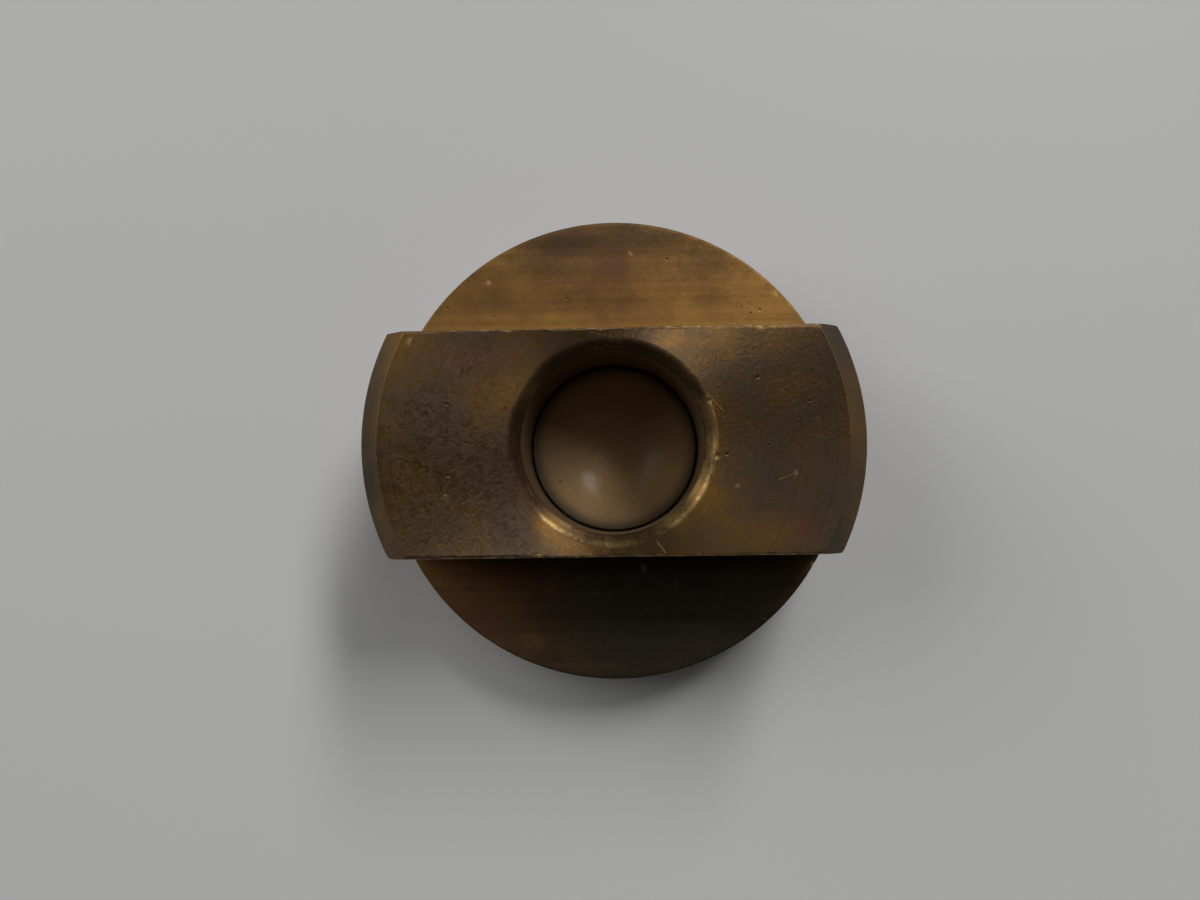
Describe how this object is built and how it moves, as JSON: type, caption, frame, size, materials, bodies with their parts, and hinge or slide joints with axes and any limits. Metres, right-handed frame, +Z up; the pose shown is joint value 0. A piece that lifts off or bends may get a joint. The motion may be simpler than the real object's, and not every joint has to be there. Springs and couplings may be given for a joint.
{
  "type": "pipe cap",
  "caption": "Round bronze clamp-down pipe cap with a flat-sided tongue, a blind bore with a swivelling dished thrust pad, and a captive flat gasket underneath.",
  "frame": {"origin": "on the turned axis, level with the rim that the cap stands on", "axes": "+Z up the turned axis, towards the tongue's top; X along the tongue; Y across its two flats"},
  "size_m": [0.0382, 0.0382, 0.0182],
  "materials": {
    "patinated_bronze": "turned and milled bronze with a dull brown patina",
    "burnished_bronze": "smooth turned bronze, burnished in the dish",
    "spring_wire": "dark drawn spring wire",
    "black_rubber": "matt black moulded rubber sheet"
  },
  "bodies": {
    "cap": {"cap_body": "patinated_bronze", "pad_retaining_ring": "spring_wire", "sealing_gasket": "black_rubber"},
    "pad": {"thrust_pad": "burnished_bronze"}
  },
  "joints": [
    {"name": "pad_swivel", "type": "hinge", "parent": "cap", "child": "pad", "pos_m": [0, 0, 0.006], "axis": [0, 0, 1], "continuous": true}
  ]
}
